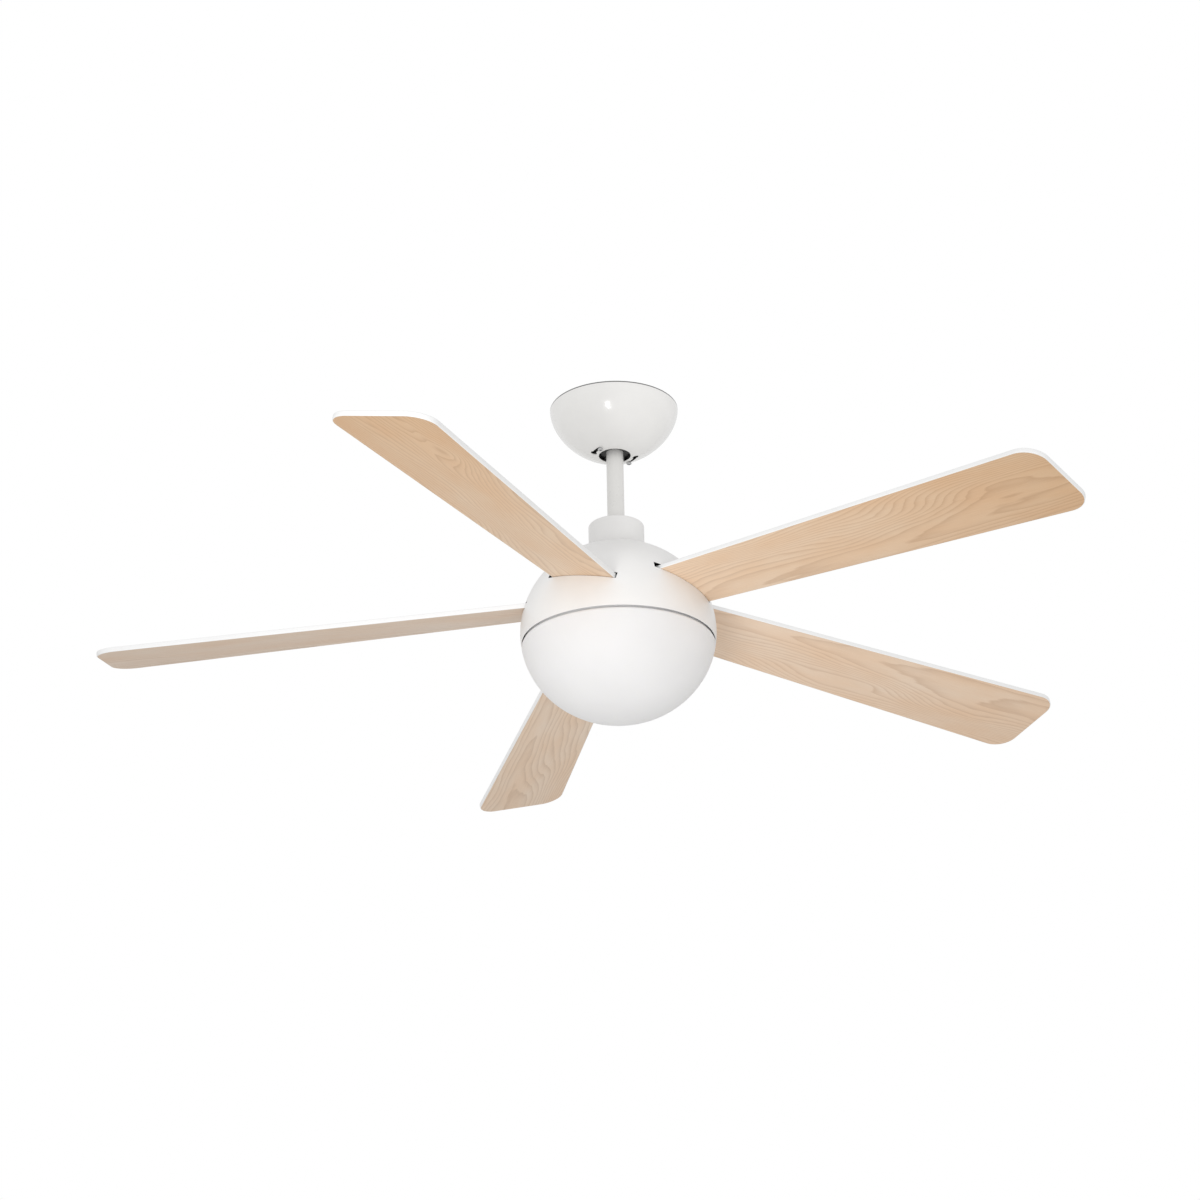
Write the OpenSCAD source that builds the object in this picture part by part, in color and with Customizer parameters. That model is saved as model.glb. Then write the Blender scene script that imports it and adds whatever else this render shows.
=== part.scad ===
// Ceiling fan with light: ceiling bracket and canopy, down rod, outer-rotor motor,
// slotted ball housing, five blades and an opal dome over an LED board.
// The origin is the centre of the ceiling plane and +Z is up, so all of it hangs below z = 0.

/* [Canopy] */
// Radius of the canopy at the ceiling
canopy_r = 83.3; // [80:0.1:90]
// Depth of the curve that the canopy follows
canopy_depth = 70.2; // [68:0.1:72]
// Thickness of the canopy's steel
canopy_wall = 1.2; // [0.8:0.1:1.4]
// Radius of the hole that the rod hangs through
canopy_hole_r = 20.5; // [20:0.1:21]
// Angle that each keyhole slot runs round the axis
keyhole_angle = 34; // [24:1:40]

/* [Ceiling bracket] */
// Distance between the two ceiling slots
ceiling_slot_spacing = 89; // [84:1:96]
// Width of a ceiling slot
ceiling_slot_w = 5.5; // [4.5:0.1:6.5]
// Length of a ceiling slot from end to end
ceiling_slot_l = 14; // [10:1:18]
// Length of the ceiling plate
ceiling_plate_l = 124; // [120:1:130]
// Width of the ceiling plate
ceiling_plate_w = 36; // [32:1:40]

/* [Hanger] */
// Radius of the hanger ball
ball_r = 27; // [26.8:0.1:27]
// Radius of the down rod
rod_r = 11; // [10.5:0.1:11]
// Wall of the down rod
rod_wall = 1.6; // [1.2:0.1:2]

/* [Collar] */
// Radius of the collar over the coupling
collar_r = 35.6; // [35:0.1:36]
// Ceiling down to the top of the collar
collar_top = 166.5; // [164:0.5:168]

/* [Ball housing] */
// Radius of the ball that the housing and the dome make together
body_r = 123.5; // [123:0.1:124]
// Height of the ball above its middle
body_rise = 117.75; // [117.5:0.05:118]
// Depth of the ball below its middle
body_fall = 115.3; // [114:0.1:120]
// Ceiling down to the middle of the ball
body_drop = 315.5; // [315:0.5:316]
// Ceiling down to the housing's lower rim
seam_drop = 329.4; // [329:0.1:329.6]
// Thickness of the housing's steel
housing_wall = 1.5; // [1.2:0.1:1.6]

/* [Blades] */
// Distance across the blade tips
span = 1318; // [1100:1:1500]
// Ceiling down to where the blades' undersides would meet on the axis
blade_drop = 275.5; // [275:0.1:276]
// Blade width at the tip
blade_tip_w = 127.4; // [110:0.1:140]
// Blade width where it goes into the housing
blade_root_w = 89; // [84:0.1:92]
// Blade thickness
blade_t = 6; // [5.6:0.1:6.2]
// Pitch of the blades
blade_pitch = 12.55; // [11:0.05:13]
// Fall of the blades towards their tips
blade_droop = 3.77; // [3:0.01:4]
// Corner radius at the tips
tip_corner_r = 28; // [10:1:40]
// Heading of the first blade, counter-clockwise from +X
first_blade = -41; // [-60:1:0]

/* [Light] */
// Thickness of the opal dome
dome_wall = 3; // [2:0.1:3.2]
// Radius of the LED board
led_board_r = 95; // [90:1:100]
// LEDs on the outer ring of the board
outer_leds = 24; // [12:1:30]
// LEDs on the inner ring of the board
inner_leds = 12; // [6:1:14]

/* [Hidden] */
$fn = 64;

// Clearances
slip = 0.05;          // a pin or shaft in its own bore
play = 0.3;           // between bodies that move past each other
past = 1;             // how far a cut runs past the face it opens

// Canopy
canopy_gap = 0.5;     // canopy rim down from the ceiling
canopy_curve = 1.78;  // exponent of the bowl's curve
canopy_floor = 65.5;  // depth of the flat round the rod hole
keyhole_r = 27.7;     // pitch radius of the keyhole slots
keyhole_w = 4.4;
keyhole_entry_r = 3.9;
keyhole_heading = -131.7;  // the first canopy screw, counter-clockwise from +X
canopy_screw_r = 2;
canopy_head_r = 3.4;
canopy_head_h = 2.2;

// Ceiling bracket
plate_t = 2.5;
leg_out = 31;         // outer face of each leg
leg_w = 28;
flange_r = 34;
flange_t = 3;
seat_r = 30;
seat_h = 6;
bracket_floor = 60.5; // underside of the ball seat
throat_w = 25;        // the open side that the rod passes through
cable_hole_r = 8;
cable_hole_x = 19;
block_tab = [44, 48];     // plate under the terminal block: width, reach from the axis
receiver_tab = [64, 56];  // plate over the receiver: width, reach from the axis
block_size = [40, 16, 14];
block_y = -36;
block_pole_r = 2.2;
block_pole_pitch = 9;
receiver_size = [60, 22, 22];
receiver_y = 43;
receiver_corner = 3;

// Hanger ball and rod
ball_seat_drop = 19;  // ball centre above the seat's underside
ball_z = ball_seat_drop - bracket_floor;
ball_cut = 20;        // flats above and below the ball's centre
groove_w = 5.2;       // groove that stops the ball turning about the rod
groove_r = 22.8;
key_w = 4;
key_r = 23.3;
rod_top = -19;
rod_foot = -195.5;
hanger_pin_r = 2.5;
hanger_pin_l = 40;
hanger_pin_z = -29;
set_screw_r = 2.5;
ball_screw_z = -48;
ball_screw_l = 10;
hex_key_r = 1.4;
hex_key_depth = 3;
lead_r = 1;
lead_x = 1.5;
lead_y = 4.3;
lead_top = -14;
plug_w = 14;
plug_h = 9;

// Coupling, its fasteners and the collar
coupling_r = 17;
coupling_top = -168;
coupling_foot = -212;
clevis_r = 3;
clevis_z = -184;
clevis_reach = 21;
clevis_head_r = 5;
clevis_head_t = 2;
clip_wire_r = 0.7;
clip_loop_r = 3;
clip_leg = 12;
coupling_screw_z = -176;
coupling_screw_out = 20;
collar_wall = 1.5;
collar_fillet = 3;
collar_foot = -201.9;
collar_bore_r = 11.4;

// Shaft and bearings
shaft_r = 8.5;
shaft_bore_r = 6;
shaft_top = -196.5;
shaft_foot = -312;
bearing_w = 12;
bearing_out_r = 20;
bearing_ball_r = 3.35;
bearing_pitch_r = 14.25;
bearing_gap = 0.15;   // ball to groove
race_half = 1.9;      // from the pitch circle to each ring's shoulder
bearing_balls = 8;
upper_bearing_z = -222.2;
lower_bearing_z = -260;
clip_out_r = 11;
clip_t = 1.2;
clip_z = -272.3;
clip_gap = 30;

// Stator
stator_top = -238;
stator_h = 16;
stator_r = 61;
stator_hub_r = 20;
tooth_count = 12;
tooth_w = 7;
shoe_in = 55;
shoe_angle = 26;
coil_in = 34;
coil_out = 53;
coil_t = 4.4;
coil_end = 3.5;

// Rotor
cup_top = -218;
cup_plate = 4;
cup_boss_r = 24;
cup_lip_r = 16;
cup_shoulder_r = 58;
cup_r = 70;
cup_in_r = 66;
cup_shoulder_drop = 14;
cup_rim_r = 80;
lid_top = -258;
lid_t = 5;
lid_boss_foot = -274;
lid_lip_t = 2;
magnet_count = 14;
magnet_in_r = 62.5;
magnet_angle = 22;
magnet_top = -235;
magnet_h = 21;
rotor_screw_pitch_r = 75;
rotor_screw_r = 2;
rotor_head_r = 3.5;
rotor_head_h = 2.5;
rotor_screw_l = 7;

// Housing
neck_r = 32;          // opening at the top, under the collar
neck_foot = cup_top;
housing_flange_r = 22;
housing_screw_pitch_r = 26.5;
housing_screw_r = 2;
housing_screws_n = 3;
body_steps = 26;
slot_lead = 6;        // slot past the blade's high edge
slot_trail = 1.5;     // slot past the blade's low edge
slot_under = 0.5;
slot_over = 1.5;
slot_from = 92;
slot_to = 136;

// Blades and arms
blade_count = 5;
blade_step = 360 / blade_count;
blade_end = span / 2 / cos(blade_droop);
blade_start = 82;
blade_taper_from = 120;
root_corner_r = 10;
corner_steps = 8;
arm_flange_t = 4;
arm_in = 50;
arm_out = 81;
arm_w = 40;
arm_web_in = 74;
arm_web_w = 26;
pad_in = 78;
pad_out = 104;
pad_w = 60;
pad_t = 4;
arm_screw_x = 60;
arm_screw_y = 13;
m5_r = 2.5;
m5_head_r = 4.5;
m5_head_h = 2.6;
blade_screw_places = [[90, -22], [90, 22], [97, 0]];

// Light
pan_top = -300;
pan_t = 1.5;
pan_r = 105.5;
pan_wall = 1.2;
pan_foot = -327;
nut_af_r = 13;
nut_h = 6;
driver_box = [40, 44, 20];
driver_x = 26;
board_t = 1.6;
board_bore_r = 18;
led_size = [5, 5, 0.8];
inner_led_r = 45;
outer_led_r = 80;
led_screw_r = 1.5;
led_screw_head_r = 3;
led_screw_pitch_r = 62;
led_screw_count = 4;
dome_neck_wall = 3.5;
dome_neck_top = -318;
dome_shoulder_r = 4;
dome_join = 9.8;      // where the ball's curve meets the shoulder, below the ball's middle
dome_lean = atan(tan(dome_join) * body_r / body_fall);
dome_neck_r = body_r * cos(dome_join) - dome_shoulder_r * cos(dome_lean);
dome_shoulder_z = -body_drop - body_fall * sin(dome_join) + dome_shoulder_r * sin(dome_lean);
ring_t = 2;
ring_foot = -327.5;
lug_in_r = 102.8;
lug_top = -320.2;
lug_h = 2.6;
lug_angle = 8;
lug_count = 3;
lug_play = 0.4;
dome_turn = 20;

// Colours
white_paint = "white";
soft_white = "whitesmoke";
zinc = "silver";
steel = "lightgray";
dark_steel = "dimgray";
copper = "peru";
maple = "burlywood";
opal = "ghostwhite";
nylon = "gainsboro";
black_nylon = "black";
black_paint = "black";
board_white = "snow";
led_yellow = "khaki";
magnet_grey = "slategray";

// ---- shared shapes ----
module ring(r_out, r_in, z_low, z_high) {
    translate([0, 0, z_low])
        difference() {
            cylinder(r = r_out, h = z_high - z_low);
            translate([0, 0, -past]) cylinder(r = r_in, h = z_high - z_low + 2 * past);
        }
}

module rod_along_x(r, x_low, x_high, z) {
    translate([x_low, 0, z]) rotate([0, 90, 0]) cylinder(r = r, h = x_high - x_low);
}

module rod_along_y(r, y_low, y_high, z) {
    translate([0, y_low, z]) rotate([-90, 0, 0]) cylinder(r = r, h = y_high - y_low);
}

// A sector of a ring, centred on the +X side
module sector(r_out, r_in, z_low, z_high, angle) {
    rotate([0, 0, -angle / 2])
        rotate_extrude(angle = angle)
            translate([r_in, z_low]) square([r_out - r_in, z_high - z_low]);
}

module hex_set_screw(r, l) {
    difference() {
        cylinder(r = r, h = l);
        translate([0, 0, l - hex_key_depth]) cylinder(r = hex_key_r, h = hex_key_depth + past, $fn = 6);
    }
}

// A screw standing on its head: head below z = 0, shank above
module screw(r, head_r, head_h, l) {
    difference() {
        union() {
            cylinder(r = r, h = l);
            translate([0, 0, -head_h]) cylinder(r = head_r, h = head_h);
        }
        translate([0, 0, -head_h - past]) cylinder(r = head_r / 2, h = head_h / 2 + past, $fn = 6);
    }
}

// Points of a rounded bowl: r across, h deep, from angle a to angle b
function bowl(r, h, power, a, b, steps) =
    [for (i = [0 : steps]) let (t = a + (b - a) * i / steps)
        [r * pow(cos(t), 2 / power), -h * pow(sin(t), 2 / power)]];

function backwards(list) = [for (i = [len(list) - 1 : -1 : 0]) list[i]];

function arc(cx, cy, r, a, b, steps) =
    [for (i = [0 : steps]) let (t = a + (b - a) * i / steps) [cx + r * cos(t), cy + r * sin(t)]];

// ---- ceiling bracket and what is fixed to it ----
module bracket_solid() {
    translate([-ceiling_plate_l / 2, -ceiling_plate_w / 2, -plate_t])
        cube([ceiling_plate_l, ceiling_plate_w, plate_t]);
    translate([-block_tab[0] / 2, -block_tab[1], -plate_t])
        cube([block_tab[0], block_tab[1], plate_t]);
    translate([-receiver_tab[0] / 2, 0, -plate_t])
        cube([receiver_tab[0], receiver_tab[1], plate_t]);
    for (side = [-1, 1])
        translate([side * (leg_out - plate_t / 2) - plate_t / 2, -leg_w / 2, -bracket_floor])
            cube([plate_t, leg_w, bracket_floor - past]);
    translate([0, 0, -bracket_floor]) cylinder(r = flange_r, h = flange_t);
    translate([0, 0, -bracket_floor]) cylinder(r = seat_r, h = seat_h);
}

module ceiling_slot() {
    for (end = [-1, 1])
        translate([end * (ceiling_slot_l - ceiling_slot_w) / 2, 0, -plate_t - past])
            cylinder(r = ceiling_slot_w / 2, h = plate_t + 2 * past);
    translate([-(ceiling_slot_l - ceiling_slot_w) / 2, -ceiling_slot_w / 2, -plate_t - past])
        cube([ceiling_slot_l - ceiling_slot_w, ceiling_slot_w, plate_t + 2 * past]);
}

module bracket_key() {
    difference() {
        translate([-key_w / 2, -seat_r, -bracket_floor])
            cube([key_w, seat_r - ball_seat_drop, seat_h + flange_t]);
        rod_along_x(key_r, -key_w, key_w, ball_z);
    }
}

module ceiling_bracket() {
    color(black_paint) {
        difference() {
            bracket_solid();
            for (side = [-1, 1]) translate([side * ceiling_slot_spacing / 2, 0, 0]) ceiling_slot();
            translate([cable_hole_x, 0, -plate_t - past]) cylinder(r = cable_hole_r, h = plate_t + 2 * past);
            translate([0, 0, ball_z]) sphere(r = ball_r + play);
            translate([-throat_w / 2, 0, -bracket_floor - past])
                cube([throat_w, flange_r + past, seat_h + 2 * past]);
            at_canopy_screws() translate([0, 0, -bracket_floor - past])
                cylinder(r = canopy_screw_r + slip, h = seat_h + 2 * past);
        }
        bracket_key();
    }
}

module at_canopy_screws() {
    for (side = [0, 180])
        rotate([0, 0, keyhole_heading + side]) translate([keyhole_r, 0, 0]) children();
}

module canopy_screws() {
    head_top = -canopy_floor - canopy_gap - play;
    color(zinc)
        at_canopy_screws() translate([0, 0, head_top])
            screw(canopy_screw_r, canopy_head_r, canopy_head_h, -bracket_floor + seat_h - head_top);
}

module terminal_block() {
    poles = [-1.5, -0.5, 0.5, 1.5];
    color(nylon)
        difference() {
            translate([-block_size[0] / 2, block_y - block_size[1] / 2, -plate_t - block_size[2]])
                cube(block_size);
            for (p = poles) {
                translate([p * block_pole_pitch, block_y, -plate_t - block_size[2] - past])
                    cylinder(r = block_pole_r, h = block_size[2] / 2 + past);
                translate([p * block_pole_pitch, 0, 0])
                    rod_along_y(block_pole_r, block_y - block_size[1], block_y + block_size[1],
                                -plate_t - block_size[2] * 0.4);
            }
        }
}

module receiver_box() {
    w = receiver_size[0];
    d = receiver_size[1];
    color(nylon)
        translate([0, receiver_y, -plate_t - receiver_size[2]])
            linear_extrude(receiver_size[2])
                polygon(concat(
                    arc(w / 2 - receiver_corner, d / 2 - receiver_corner, receiver_corner, 0, 90, 4),
                    arc(-w / 2 + receiver_corner, d / 2 - receiver_corner, receiver_corner, 90, 180, 4),
                    arc(-w / 2 + receiver_corner, -d / 2 + receiver_corner, receiver_corner, 180, 270, 4),
                    arc(w / 2 - receiver_corner, -d / 2 + receiver_corner, receiver_corner, 270, 360, 4)));
}

// ---- canopy ----
function canopy_end(h, floor_z) = asin(pow(floor_z / h, canopy_curve / 2));

module canopy_shell() {
    inner_h = canopy_depth - canopy_wall;
    inner_floor = canopy_floor - canopy_wall;
    outer = bowl(canopy_r, canopy_depth, canopy_curve, 0, canopy_end(canopy_depth, canopy_floor), 18);
    inner = bowl(canopy_r - canopy_wall, inner_h, canopy_curve, 0, canopy_end(inner_h, inner_floor), 18);
    rotate_extrude()
        polygon(concat(outer, [[canopy_hole_r, -canopy_floor], [canopy_hole_r, -inner_floor]],
                       backwards(inner)));
}

module keyhole() {
    deep = canopy_depth - bracket_floor + 2 * past;
    half_w = keyhole_w / 2;
    translate([0, 0, -canopy_depth]) {
        linear_extrude(deep)
            polygon(concat(
                arc(0, 0, keyhole_r + half_w, -keyhole_angle, 0, 12),
                arc(keyhole_r, 0, half_w, 15, 165, 10),
                arc(0, 0, keyhole_r - half_w, 0, -keyhole_angle, 12)));
        rotate([0, 0, -keyhole_angle]) translate([keyhole_r, 0, 0])
            cylinder(r = keyhole_entry_r, h = deep);
    }
}

module canopy() {
    color(white_paint)
        translate([0, 0, -canopy_gap])
            difference() {
                canopy_shell();
                for (side = [0, 180]) rotate([0, 0, keyhole_heading + side]) keyhole();
            }
}

// ---- hanger ball, rod and leads ----
module hanger_ball() {
    color(black_nylon)
        difference() {
            intersection() {
                translate([0, 0, ball_z]) sphere(r = ball_r);
                translate([-ball_r, -ball_r, ball_z - ball_cut]) cube([2 * ball_r, 2 * ball_r, 2 * ball_cut]);
            }
            translate([0, 0, ball_z - ball_r]) cylinder(r = rod_r + slip, h = 2 * ball_r);
            rod_along_x(hanger_pin_r + slip, -ball_r, ball_r, hanger_pin_z);
            rod_along_y(set_screw_r + slip, 0, ball_r, ball_screw_z);
            difference() {
                rod_along_x(ball_r + past, -groove_w / 2, groove_w / 2, ball_z);
                rod_along_x(groove_r, -groove_w, groove_w, ball_z);
                translate([-groove_w, 0, ball_z - 2 * ball_r]) cube([2 * groove_w, 2 * ball_r, 4 * ball_r]);
            }
        }
}

module hanger_pin() {
    color(steel) rod_along_x(hanger_pin_r, -hanger_pin_l / 2, hanger_pin_l / 2, hanger_pin_z);
}

module ball_screw() {
    color(steel)
        translate([0, rod_r + slip, ball_screw_z]) rotate([-90, 0, 0])
            hex_set_screw(set_screw_r, ball_screw_l);
}

module down_rod() {
    color(white_paint)
        difference() {
            ring(rod_r, rod_r - rod_wall, rod_foot, rod_top);
            rod_along_x(hanger_pin_r + slip, -2 * rod_r, 2 * rod_r, hanger_pin_z);
            rod_along_x(clevis_r + slip, -2 * rod_r, 2 * rod_r, clevis_z);
        }
}

module supply_leads() {
    color(copper)
        for (x = [-lead_x, lead_x], y = [-lead_y, lead_y])
            translate([x, y, shaft_foot]) cylinder(r = lead_r, h = lead_top - shaft_foot, $fn = 24);
}

module lead_plug() {
    color(nylon)
        translate([-plug_w / 2, -plug_w / 2, lead_top])
            cube([plug_w, plug_w, plug_h]);
}

// ---- coupling and collar ----
module coupling() {
    color(dark_steel)
        difference() {
            translate([0, 0, coupling_foot])
                cylinder(r = coupling_r, h = coupling_top - coupling_foot);
            translate([0, 0, coupling_foot - past]) cylinder(r = shaft_r + slip, h = coupling_r * 4);
            translate([0, 0, rod_foot - past]) cylinder(r = rod_r + slip, h = coupling_r * 4);
            rod_along_x(clevis_r + slip, -2 * coupling_r, 2 * coupling_r, clevis_z);
            rod_along_y(set_screw_r + slip, -2 * coupling_r, 2 * coupling_r, coupling_screw_z);
        }
}

module clevis_pin() {
    color(steel)
        difference() {
            union() {
                rod_along_x(clevis_r, -clevis_reach, clevis_reach, clevis_z);
                rod_along_x(clevis_head_r, -clevis_reach - clevis_head_t, -clevis_reach, clevis_z);
            }
            translate([clevis_reach - clevis_head_t, 0, clevis_z - clevis_head_r])
                cylinder(r = clip_wire_r + slip, h = 2 * clevis_head_r, $fn = 24);
        }
}

module clevis_clip() {
    color(zinc)
        translate([clevis_reach - clevis_head_t, 0, clevis_z]) {
            translate([0, 0, -clip_leg / 2]) cylinder(r = clip_wire_r, h = clip_leg, $fn = 24);
            translate([0, 0, clip_leg / 2])
                rotate([90, 0, 0])
                    translate([clip_loop_r, 0, 0])
                        rotate_extrude(angle = 180)
                            translate([clip_loop_r, 0]) circle(r = clip_wire_r, $fn = 24);
            translate([2 * clip_loop_r, 0, 0]) cylinder(r = clip_wire_r, h = clip_leg / 2, $fn = 24);
        }
}

module coupling_screws() {
    color(steel)
        for (side = [0, 180])
            rotate([0, 0, side]) translate([0, rod_r + slip, coupling_screw_z]) rotate([-90, 0, 0])
                hex_set_screw(set_screw_r, coupling_screw_out - rod_r);
}

module collar() {
    top = -collar_top;
    in_fillet = collar_fillet - collar_wall;
    color(soft_white)
        rotate_extrude()
            polygon(concat(
                [[collar_r, collar_foot]],
                arc(collar_r - collar_fillet, top - collar_fillet, collar_fillet, 0, 90, 6),
                [[collar_bore_r, top], [collar_bore_r, top - collar_wall]],
                backwards(arc(collar_r - collar_fillet, top - collar_fillet, in_fillet, 0, 90, 6)),
                [[collar_r - collar_wall, collar_foot]]));
}

// ---- shaft and bearings ----
module motor_shaft() {
    color(steel) ring(shaft_r, shaft_bore_r, shaft_foot, shaft_top);
}

module race_groove(z_top) {
    translate([0, 0, z_top - bearing_w / 2])
        rotate_extrude() translate([bearing_pitch_r, 0]) circle(r = bearing_ball_r + bearing_gap, $fn = 32);
}

module bearing_inner(z_top) {
    color(steel)
        difference() {
            ring(bearing_pitch_r - race_half, shaft_r + slip, z_top - bearing_w, z_top);
            race_groove(z_top);
        }
}

module bearing_outer(z_top) {
    color(steel)
        difference() {
            ring(bearing_out_r - slip, bearing_pitch_r + race_half, z_top - bearing_w, z_top);
            race_groove(z_top);
        }
}

module bearing_ball_set(z_top) {
    color(zinc)
        for (i = [0 : bearing_balls - 1])
            rotate([0, 0, i * 360 / bearing_balls]) translate([bearing_pitch_r, 0, z_top - bearing_w / 2])
                sphere(r = bearing_ball_r, $fn = 32);
}

module shaft_clip() {
    color(dark_steel)
        rotate([0, 0, clip_gap / 2])
            rotate_extrude(angle = 360 - clip_gap)
                translate([shaft_r + slip, clip_z - clip_t]) square([clip_out_r - shaft_r, clip_t]);
}

// ---- stator ----
module stator_core() {
    foot = stator_top - stator_h;
    color(dark_steel)
        difference() {
            union() {
                translate([0, 0, foot]) cylinder(r = stator_hub_r, h = stator_h);
                for (i = [0 : tooth_count - 1])
                    rotate([0, 0, i * 360 / tooth_count]) {
                        translate([stator_hub_r - past, -tooth_w / 2, foot])
                            cube([shoe_in - stator_hub_r + 2 * past, tooth_w, stator_h]);
                        sector(stator_r, shoe_in, foot, stator_top, shoe_angle);
                    }
            }
            translate([0, 0, foot - past]) cylinder(r = shaft_r + slip, h = stator_h + 2 * past);
        }
}

module stator_windings() {
    coil_w = tooth_w + 2 * coil_t;
    color(copper)
        for (i = [0 : tooth_count - 1])
            rotate([0, 0, i * 360 / tooth_count])
                difference() {
                    translate([coil_in, -coil_w / 2, stator_top - stator_h - coil_end])
                        cube([coil_out - coil_in, coil_w, stator_h + 2 * coil_end]);
                    translate([coil_in - past, -tooth_w / 2 - slip, stator_top - stator_h - slip])
                        cube([coil_out - coil_in + 2 * past, tooth_w + 2 * slip, stator_h + 2 * slip]);
                }
}

// ---- rotor ----
module rotor_cup() {
    boss_foot = cup_top - cup_plate - bearing_w;
    color(zinc)
        difference() {
            rotate_extrude()
                polygon([[cup_lip_r, cup_top], [cup_shoulder_r, cup_top],
                         [cup_r, cup_top - cup_shoulder_drop], [cup_r, lid_top + flange_t],
                         [cup_rim_r, lid_top + flange_t], [cup_rim_r, lid_top],
                         [cup_in_r, lid_top], [cup_in_r, cup_top - cup_shoulder_drop - cup_plate / 2],
                         [cup_shoulder_r - cup_plate / 2, cup_top - cup_plate],
                         [cup_boss_r, cup_top - cup_plate], [cup_boss_r, boss_foot],
                         [bearing_out_r, boss_foot], [bearing_out_r, cup_top - cup_plate],
                         [cup_lip_r, cup_top - cup_plate]]);
            at_rotor_screws() translate([0, 0, lid_top - past])
                cylinder(r = rotor_screw_r + slip, h = flange_t + 2 * past);
            at_housing_screws() translate([0, 0, cup_top - cup_plate - past])
                cylinder(r = housing_screw_r + slip, h = cup_plate + 2 * past);
        }
}

module magnets() {
    color(magnet_grey)
        for (i = [0 : magnet_count - 1])
            rotate([0, 0, i * 360 / magnet_count])
                sector(cup_in_r - slip, magnet_in_r, magnet_top - magnet_h, magnet_top, magnet_angle);
}

module at_rotor_screws() {
    for (i = [0 : blade_count - 1])
        rotate([0, 0, first_blade + (i + 0.5) * blade_step])
            translate([rotor_screw_pitch_r, 0, 0]) children();
}

module at_housing_screws() {
    for (i = [0 : housing_screws_n - 1])
        rotate([0, 0, i * 360 / housing_screws_n]) translate([housing_screw_pitch_r, 0, 0]) children();
}

module at_arm_screws(i) {
    rotate([0, 0, first_blade + i * blade_step])
        for (side = [-1, 1]) translate([arm_screw_x, side * arm_screw_y, 0]) children();
}

module rotor_lid() {
    color(zinc)
        difference() {
            union() {
                ring(cup_rim_r, bearing_out_r, lid_top - lid_t, lid_top);
                ring(cup_boss_r, bearing_out_r, lid_boss_foot, lid_top - lid_t + past);
                ring(cup_boss_r, cup_lip_r, lid_boss_foot, lid_boss_foot + lid_lip_t);
            }
            at_rotor_screws() translate([0, 0, lid_top - lid_t - past])
                cylinder(r = rotor_screw_r + slip, h = lid_t + 2 * past);
            for (i = [0 : blade_count - 1])
                at_arm_screws(i) translate([0, 0, lid_top - lid_t - past])
                    cylinder(r = m5_r + slip, h = lid_t + 2 * past);
        }
}

module rotor_screws() {
    color(steel)
        at_rotor_screws() translate([0, 0, lid_top + flange_t]) rotate([180, 0, 0])
            screw(rotor_screw_r, rotor_head_r, rotor_head_h, rotor_screw_l);
}

// ---- housing ----
function body_curve(r, h, a, b, steps, sign) =
    [for (p = bowl(r, h, 2, a, b, steps)) [p[0], -body_drop + sign * -p[1]]];

module housing_shell() {
    seam = -seam_drop;
    in_r = body_r - housing_wall;
    in_rise = body_rise - housing_wall;
    in_fall = body_fall - housing_wall;
    top_out = acos(neck_r / body_r);
    top_in = acos(neck_r / in_r);
    outer = concat(
        backwards(body_curve(body_r, body_rise, 0, top_out, body_steps, 1)),
        body_curve(body_r, body_fall, 3, asin((body_drop + seam) / -body_fall), 4, -1));
    inner = concat(
        backwards(body_curve(in_r, in_fall, 3, asin((body_drop + seam) / -in_fall), 4, -1)),
        body_curve(in_r, in_rise, 0, top_in, body_steps, 1));
    rotate_extrude()
        polygon(concat(outer, inner,
                       [[neck_r, neck_foot], [housing_flange_r, neck_foot],
                        [housing_flange_r, neck_foot + 2 * past],
                        [neck_r - housing_wall, neck_foot + 2 * past],
                        [neck_r - housing_wall, outer[0][1]]]));
}

function blade_w(x) = blade_root_w
    + (blade_tip_w - blade_root_w) * (x - blade_taper_from) / (blade_end - blade_taper_from);

module in_blade_frame(i) {
    rotate([0, 0, first_blade + i * blade_step]) translate([0, 0, -blade_drop])
        rotate([0, blade_droop, 0]) rotate([-blade_pitch, 0, 0]) children();
}

module housing() {
    low = -blade_w(blade_taper_from) / 2 - slot_lead;
    high = blade_w(blade_taper_from) / 2 + slot_trail;
    color(soft_white)
        difference() {
            housing_shell();
            for (i = [0 : blade_count - 1])
                in_blade_frame(i) translate([slot_from, low, -slot_under])
                    cube([slot_to - slot_from, high - low, blade_t + slot_under + slot_over]);
            at_housing_screws() translate([0, 0, neck_foot - past])
                cylinder(r = housing_screw_r + slip, h = 4 * past);
        }
}

module housing_screws() {
    color(steel)
        at_housing_screws() translate([0, 0, neck_foot + 2 * past]) rotate([180, 0, 0])
            screw(housing_screw_r, rotor_head_r, rotor_head_h, cup_plate + past);
}

// ---- blades and arms ----
module at_blade_screws() {
    for (place = blade_screw_places) translate([place[0], place[1], 0]) children();
}

module blade(i) {
    root = blade_w(blade_start) / 2;
    tip = blade_w(blade_end) / 2;
    slope = atan((tip - root) / (blade_end - blade_start));
    tip_y = tip - tip_corner_r * tan((90 + slope) / 2);
    root_y = root - root_corner_r * tan((90 - slope) / 2);
    color(maple)
        in_blade_frame(i)
            difference() {
                linear_extrude(blade_t)
                    polygon(concat(
                        arc(blade_start + root_corner_r, -root_y, root_corner_r, 180, 270 - slope,
                            corner_steps),
                        arc(blade_end - tip_corner_r, -tip_y, tip_corner_r, 270 - slope, 360, corner_steps),
                        arc(blade_end - tip_corner_r, tip_y, tip_corner_r, 0, 90 + slope, corner_steps),
                        arc(blade_start + root_corner_r, root_y, root_corner_r, 90 + slope, 180,
                            corner_steps)));
                at_blade_screws() translate([0, 0, -past])
                    cylinder(r = m5_r + slip, h = blade_t + 2 * past);
            }
}

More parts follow.
